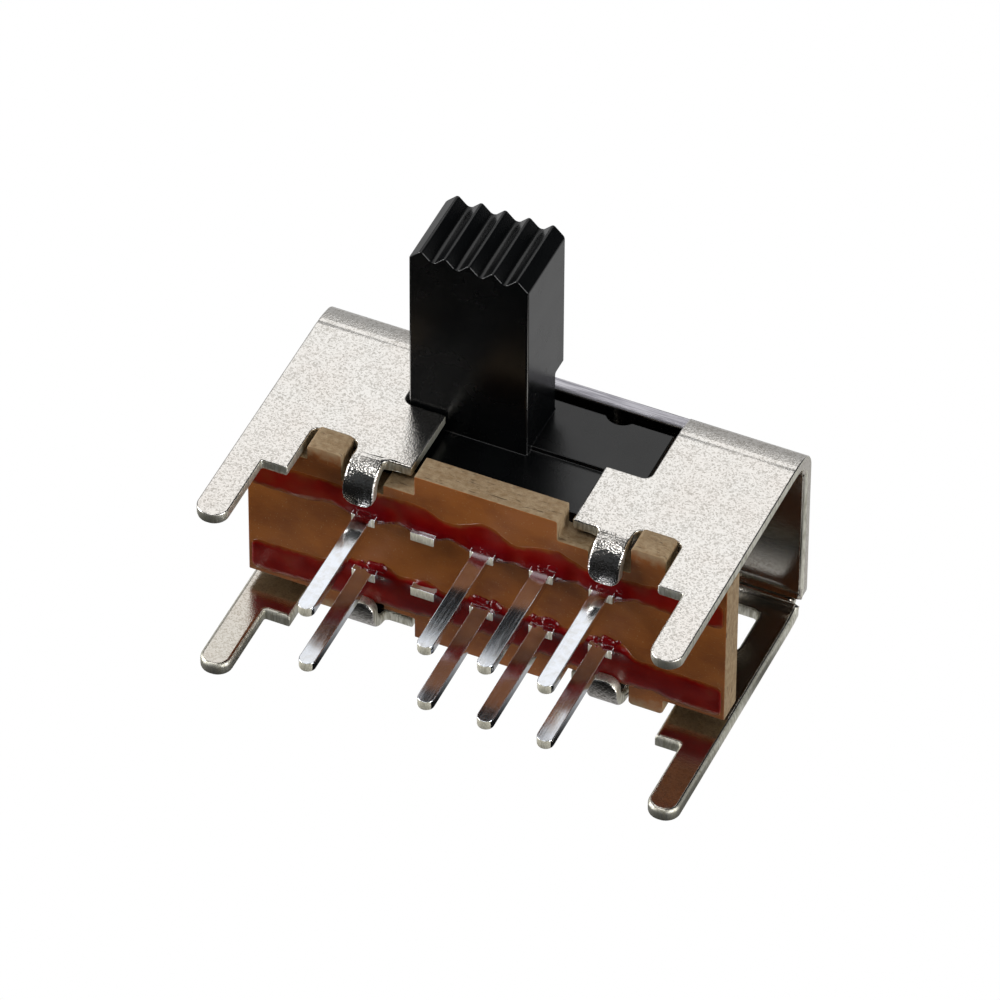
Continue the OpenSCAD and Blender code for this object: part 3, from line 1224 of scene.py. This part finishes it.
@dataclass
class RootCollars:
    """The wet lumps of resin that stand round the terminals' roots, fused by Geometry Nodes.

    Args:
        groups: The kinds of lumps.
        voxel_mm: Size of the steps in which they are fused.
    """

    groups: tuple[Lumps, ...] = (
        Lumps("resin_collars", 10, (-0.36, -0.01, 0.18), (0.62, 0.05, 0.36), (0.1, 0.19), 3),
        Lumps("resin_drips", 4, (-0.5, -0.03, -0.16), (-0.44, 0.03, 0.2), (0.05, 0.09), 11),
        Lumps("resin_droplets", 4, (0.6, -0.01, 0.02), (0.98, 0.02, 0.3), (0.05, 0.09), 23),
        Lumps("resin_wicks", 4, (-0.24, -0.34, 0.15), (0.26, -0.12, 0.18), (0.05, 0.07), 31),
    )
    voxel_mm: float = 0.025

    def strewing(self) -> Tree:
        """Builds the node tree that strews and fuses lumps round the points of a mesh.

        Returns:
            The tree, in millimetres, with inputs for the strewing, the steps and the finish.
        """
        kinds = {
            "Geometry": "Geometry",
            "Count": "Int",
            "Low": "Vector",
            "High": "Vector",
            "Smallest": "Float",
            "Largest": "Float",
            "Seed": "Int",
            "Voxel": "Float",
            "Finish": "Material",
        }
        tree, given = geometry_tree("strewn_lumps", kinds)
        handful = add(tree, "GeometryNodePoints", {"Count": given["Count"]})
        places = {"Points": given["Geometry"], "Instance": handful}
        placed = add(tree, "GeometryNodeInstanceOnPoints", places)
        loose = add(tree, "GeometryNodeRealizeInstances", {"Geometry": placed})
        space = {0: given["Low"], 1: given["High"], "Seed": given["Seed"]}
        throw = add(tree, "FunctionNodeRandomValue", space, data_type="FLOAT_VECTOR")
        strewn = add(tree, "GeometryNodeSetPosition", {"Geometry": loose, "Offset": throw})
        radii = {2: given["Smallest"], 3: given["Largest"], "Seed": given["Count"]}
        girth = add(tree, "FunctionNodeRandomValue", radii, data_type="FLOAT")
        balls = {"Points": strewn, "Voxel Size": given["Voxel"], "Radius": girth}
        cloud = add(tree, "GeometryNodePointsToVolume", balls, resolution_mode="VOXEL_SIZE")
        steps = {"Volume": cloud, "Voxel Size": given["Voxel"]}
        fused = add(tree, "GeometryNodeVolumeToMesh", steps, resolution_mode="VOXEL_SIZE")
        blur = {"Iterations": 16, "Value": add(tree, "GeometryNodeInputPosition")}
        flowed = add(tree, "GeometryNodeBlurAttribute", blur, data_type="FLOAT_VECTOR")
        wet = add(tree, "GeometryNodeSetPosition", {"Geometry": fused, "Position": flowed})
        sized = add(tree, "GeometryNodeTransform", {"Geometry": wet, "Scale": (MM, MM, MM)})
        full = {"Geometry": sized, "Name": "depth", "Value": 1.0}
        deep = add(tree, "GeometryNodeStoreNamedAttribute", full, data_type="FLOAT", domain="POINT")
        end_tree(tree, deep, given["Finish"])
        return tree

    def build(self, resin: Material, terminals: Terminals) -> None:
        """Builds and dresses the lumps.

        Args:
            resin: Their finish.
            terminals: The terminals that they stand round.
        """
        tree = self.strewing()
        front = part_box("terminal_board")[0].y / MM
        for group in self.groups:
            points = bmesh.new()
            for row in Row:
                height = terminals.row_height(row) / MM
                for x in terminals.roots(row)[1:]:
                    points.verts.new((x / MM, front, height))
            values = {
                "Count": group.count,
                "Low": group.low_mm,
                "High": group.high_mm,
                "Smallest": group.radius_mm[0],
                "Largest": group.radius_mm[1],
                "Seed": group.seed,
                "Voxel": self.voxel_mm,
                "Finish": resin,
            }
            piece = geometry_piece(group.name, tree, values, points)
            finish_piece(piece, Body.HOUSING)


@dataclass
class Slider:
    """The moulded slider with its ridged knob, its edges as soft as the mould leaves them.

    Args:
        edge_mm: Width of the edge rounding.
        crisp: Edges sharper than this stay crisp, in degrees.
    """

    edge_mm: float = 0.04
    crisp: float = 35.0

    def build(self, plastic: Material) -> None:
        """Builds the slider and dresses it in plastic."""
        piece = rounded_solid("moulded_slider", "slider", self.edge_mm, self.crisp)
        dress(piece, (plastic,))
        finish_piece(piece, Body.SLIDER, ("slider",))


@dataclass
class DetentSprings:
    """The two coil springs behind the detent balls, wound by Geometry Nodes.

    Args:
        turns: Number of turns.
        wire_mm: Diameter of the wire.
    """

    turns: float = 4.5
    wire_mm: float = 0.16

    def winding(self) -> Tree:
        """Builds the node tree that winds a spring along its own Y.

        Returns:
            The tree, with inputs for the place, turns, radii, length and finish.
        """
        kinds = {
            "Centre": "Vector",
            "Turns": "Float",
            "Coil Radius": "Float",
            "Wire Radius": "Float",
            "Length": "Float",
            "Finish": "Material",
        }
        tree, given = geometry_tree("coil_winding", kinds)
        shape = {
            "Resolution": 28,
            "Rotations": given["Turns"],
            "Start Radius": given["Coil Radius"],
            "End Radius": given["Coil Radius"],
            "Height": given["Length"],
        }
        coil = add(tree, "GeometryNodeCurveSpiral", shape)
        round_wire = {"Resolution": 10, "Radius": given["Wire Radius"]}
        section = add(tree, "GeometryNodeCurvePrimitiveCircle", round_wire)
        ends = {"Curve": coil, "Profile Curve": section, "Fill Caps": True}
        wire = add(tree, "GeometryNodeCurveToMesh", ends)
        pose = {"Geometry": wire, "Translation": given["Centre"], "Rotation": (math.radians(90), 0.0, 0.0)}
        end_tree(tree, add(tree, "GeometryNodeTransform", pose), given["Finish"])
        return tree

    def build(self, wire: Material) -> None:
        """Builds both springs and dresses them as wire."""
        tree = self.winding()
        for side in ("left", "right"):
            node = f"detent_spring_{side}"
            low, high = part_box(node)
            radius = self.wire_mm * MM / 2
            values = {
                "Centre": ((low.x + high.x) / 2, high.y - radius, (low.z + high.z) / 2),
                "Turns": self.turns,
                "Coil Radius": (high.x - low.x) / 2 - radius,
                "Wire Radius": radius,
                "Length": high.y - low.y - 2 * radius,
                "Finish": wire,
            }
            piece = geometry_piece(f"coil_spring_{side}", tree, values)
            finish_piece(piece, Body.SLIDER, (node,))


@dataclass
class InnerParts:
    """The contact clips and detent balls, carried over from the CAD and dressed."""

    def dress(self, bronze: Material, ball: Material) -> None:
        """Dresses the clips and balls.

        Args:
            bronze: Finish of the clips.
            ball: Finish of the balls.
        """
        finishes = {"contact_clip": (bronze, ("upper", "lower")), "detent_ball": (ball, ("left", "right"))}
        for part, (finish, places) in finishes.items():
            for place in places:
                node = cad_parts[f"{part}_{place}"]
                dress(node, (finish,))
                log.info("%s: carried over with %s", node.name, finish.name)


# -------------------------------------------------------------------- studio


@dataclass(frozen=True)
class SoftBox:
    """One soft studio light.

    Args:
        name: Its name.
        azimuth: Direction from the switch, with 0 in front and 90 to the right, in degrees.
        elevation: Height above the floor, in degrees.
        distance: Distance from the switch in metres.
        size: Width and height in metres.
        radiance: Brightness of its face.
    """

    name: str
    azimuth: float
    elevation: float
    distance: float
    size: Point
    radiance: float

    def build(self, aim: Vector) -> None:
        """Hangs the light.

        Args:
            aim: The point that it faces.
        """
        lamp = bpy.data.lights.new(self.name, "AREA")
        lamp.shape = "RECTANGLE"
        lamp.size, lamp.size_y = self.size
        lamp.energy = math.pi * self.radiance * self.size[0] * self.size[1]
        lit = bpy.data.objects.new(self.name, lamp)
        direction = towards(self.azimuth, self.elevation)
        lit.location = aim + direction * self.distance
        lit.rotation_mode = "QUATERNION"
        lit.rotation_quaternion = direction.to_track_quat("Z", "Y")
        lit.visible_camera = False
        bpy.context.scene.collection.objects.link(lit)


@dataclass
class Studio:
    """The pale floor, the soft lights and the camera.

    Args:
        azimuth: The camera's direction, in degrees.
        elevation: Its height above the floor, in degrees.
        roll: Its roll, in degrees.
        lens_mm: Its focal length on a 36 mm sensor.
        distance_mm: Its distance from the middle of the back wall's foot.
        offset_mm: How far it stands to the right of and above that point.
        glow: Brightness of the light table and of the room behind it, as the camera sees them.
        room: Brightness of the room that the switch mirrors.
        painted_spill: Brightness of the glow painted on the light table, which it casts on the switch.
        painted_spill_mm: Places along Y in front of the switch where that painted glow starts and is full.
        painted_shadow_mm: Middle of the switch's own shadow, painted into that glow along Y, and how far
            from there the painted shadow fades out.
        gap_mm: How far below the switch the table lies.
        table_m: Half the table's width.
    """

    azimuth: float = 23.90
    elevation: float = 44.70
    roll: float = 0.32
    lens_mm: float = 362.8
    distance_mm: float = 317.3
    offset_mm: Point = (-2.200, 0.902)
    glow: float = 1.0
    room: float = 0.12
    painted_spill: float = 0.5
    painted_spill_mm: Point = (-3.2, 0.2)
    painted_shadow_mm: Point = (2.3, 2.4)
    gap_mm: float = 0.02
    table_m: float = 4.0
    boxes: tuple[SoftBox, ...] = (
        SoftBox("back_box", 220.0, 51.0, 0.9, (0.95, 0.68), 0.99),
        SoftBox("back_sweep", 204.0, 14.0, 1.0, (1.2, 0.5), 0.38),
        SoftBox("top_fill", 212.0, 86.0, 1.0, (0.5, 0.3), 0.15),
        SoftBox("front_top", 340.0, 70.0, 1.0, (0.6, 0.3), 2.2),
        SoftBox("front_low", 44.0, 15.0, 1.1, (0.75, 0.5), 0.5),
        SoftBox("left_box", 286.0, 20.0, 1.1, (0.8, 0.7), 6.8),
        SoftBox("right_box", 76.0, 20.0, 1.1, (0.7, 0.7), 5.6),
    )

    def camera(self, back_wall: float) -> None:
        """Sets up the camera.

        Args:
            back_wall: Place of the back wall along Y in metres.
        """
        data = bpy.data.cameras.new("camera")
        data.sensor_width = 36.0
        data.lens = self.lens_mm
        data.clip_start, data.clip_end = 0.01, 50.0
        shown = bpy.data.objects.new("camera", data)
        around, roll = math.radians(self.azimuth), math.radians(self.roll)
        right = Vector((math.cos(around), math.sin(around), 0.0))
        back = towards(self.azimuth, self.elevation)
        over = back.cross(right)
        side = right * math.cos(roll) + over * math.sin(roll)
        over = over * math.cos(roll) - right * math.sin(roll)
        place = side * self.offset_mm[0] + over * self.offset_mm[1] + back * self.distance_mm
        stand = Matrix.Translation(place * MM + Vector((0.0, back_wall, 0.0)))
        shown.matrix_world = stand @ Matrix((side, over, back)).transposed().to_4x4()
        bpy.context.scene.collection.objects.link(shown)
        bpy.context.scene.camera = shown

    def floor(self, height: float) -> None:
        """Lays a pale light-table floor, with painted light and painted shadow in what the switch sees of it.

        Args:
            height: Height of the floor in metres.
        """
        half = self.table_m
        corners = ((-half, -half), (half, -half), (half, half), (-half, half))
        shape = bmesh.new()
        shape.faces.new([shape.verts.new((x, y, height)) for x, y in corners])
        table = piece_from("floor", shape)

        pale = bpy.data.materials.new("light_table")
        tree = bare_tree(pale)
        ray = add(tree, "ShaderNodeLightPath").outputs["Is Camera Ray"]
        # Painted shade: the switch sees this dark plate where the camera sees the pale table
        plate = add(tree, "ShaderNodeBsdfDiffuse", {"Color": "#181818"})
        spot = add(tree, "ShaderNodeTexCoord").outputs["Object"]
        along = add(tree, "ShaderNodeSeparateXYZ", {"Vector": spot}).outputs["Y"]
        offset = add(tree, "ShaderNodeMath", {0: along, 1: self.painted_shadow_mm[0] * MM}, operation="SUBTRACT")
        away = add(tree, "ShaderNodeMath", {0: offset}, operation="ABSOLUTE")
        # Painted light and shadow: the glow's strength is set by place along Y, none in front of the switch,
        # a painted shadow round its middle, full behind it
        painted_spill = self.painted_spill
        for place, (start, full) in ((along, self.painted_spill_mm), (away, (0.0, self.painted_shadow_mm[1]))):
            inputs = {"Value": place, "From Min": start * MM, "From Max": full * MM}
            share = add(tree, "ShaderNodeMapRange", inputs, interpolation_type="SMOOTHSTEP")
            painted_spill = add(tree, "ShaderNodeMath", {0: share, 1: painted_spill}, operation="MULTIPLY")
        lit = add(tree, "ShaderNodeEmission", {"Color": WHITE, "Strength": painted_spill})
        dim = add(tree, "ShaderNodeAddShader", {0: plate, 1: lit})
        glow = add(tree, "ShaderNodeEmission", {"Color": WHITE, "Strength": self.glow})
        both = add(tree, "ShaderNodeMixShader", {0: ray, 1: dim, 2: glow})
        add(tree, "ShaderNodeOutputMaterial", {"Surface": both})
        dress(table, (pale,))
        table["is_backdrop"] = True

    def world(self) -> None:
        """Fills the room: pale to the camera, dim to everything else."""
        room = bpy.data.worlds.new("room")
        bpy.context.scene.world = room
        tree = bare_tree(room)
        ray = add(tree, "ShaderNodeLightPath").outputs["Is Camera Ray"]
        dim = add(tree, "ShaderNodeBackground", {"Color": "#8C9094", "Strength": self.room})
        pale = add(tree, "ShaderNodeBackground", {"Color": WHITE, "Strength": self.glow})
        both = add(tree, "ShaderNodeMixShader", {0: ray, 1: dim, 2: pale})
        add(tree, "ShaderNodeOutputWorld", {"Surface": both})

    def build(self, low: Vector, high: Vector) -> None:
        """Sets the whole studio around the switch.

        Args:
            low: Lowest corner of the switch.
            high: Highest corner of the switch.
        """
        bpy.context.scene.view_settings.view_transform = "Standard"
        self.floor(low.z - self.gap_mm * MM)
        self.world()
        for box in self.boxes:
            box.build((low + high) / 2)
        self.camera(high.y)


def main() -> None:
    """Builds the switch's looks piece by piece, then the studio."""
    logging.basicConfig(level=logging.INFO, format="%(name)s %(message)s")
    cad_low, cad_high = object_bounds()

    skins = {
        Skin.OUTSIDE: MatteNickel(),
        Skin.INSIDE: SmoothNickel(),
        Skin.CUT: ShearedNickel(),
        Skin.LIP: ShearedLip(),
        Skin.TAB: StrainedNickelPaintedShade(),
    }

    SteelFrame().build({skin: finish.build() for skin, finish in skins.items()})
    TerminalBoard().build(PhenolicFace().build(), PhenolicCut().build())
    terminals = Terminals()
    terminals.build(TinPlate().build(), ShearedTin().build())
    resin = RedResin().build()
    upper = ResinSeal(
        Row.UPPER,
        top_mm=(
            (-8.0, 5.6), (-6.0, 5.85), (-4.6, 5.8), (-2.4, 6.05), (-1.2, 5.7), (0.0, 6.1), (1.0, 5.65),
            (2.4, 5.95), (3.4, 5.6), (4.8, 5.65), (5.8, 5.75), (7.0, 5.95), (8.0, 5.85),
        ),
        bottom_mm=(
            (-8.0, 4.72), (-6.4, 4.72), (-5.2, 4.88), (-4.0, 4.5), (-2.9, 4.9), (-2.0, 4.6), (-1.2, 4.95),
            (0.0, 4.5), (1.0, 4.8), (2.0, 4.5), (3.0, 4.8), (4.0, 4.45), (5.2, 4.85), (6.6, 4.8),
            (8.0, 4.85),
        ),
        tint=0.42,
    )
    lower = ResinSeal(
        Row.LOWER,
        top_mm=(
            (-8.0, 2.3), (-5.6, 2.35), (-4.7, 2.85), (-3.3, 2.9), (-2.9, 2.7), (-2.0, 2.85), (-1.2, 2.6),
            (-0.7, 2.9), (0.5, 2.85), (1.2, 2.75), (2.0, 2.9), (3.0, 2.75), (4.6, 2.85), (5.1, 2.35),
            (8.0, 2.3),
        ),
        bottom_mm=(
            (-8.0, 1.05), (-5.6, 1.1), (-4.0, 1.15), (-3.0, 1.2), (-1.6, 1.3), (0.0, 1.35), (2.0, 1.3),
            (4.0, 1.1), (5.0, 1.1), (5.6, 1.2), (6.6, 1.05), (8.0, 1.05),
        ),
        tint=0.6,
    )
    for band in (upper, lower):
        band.build(resin, terminals)
    RootCollars().build(resin, terminals)
    Slider().build(BlackAbs().build())
    DetentSprings().build(DrawnWire().build())
    InnerParts().dress(SpringBronze().build(), PolishedSteel().build())
    Studio().build(cad_low, cad_high)


if __name__ == "__main__":
    main()
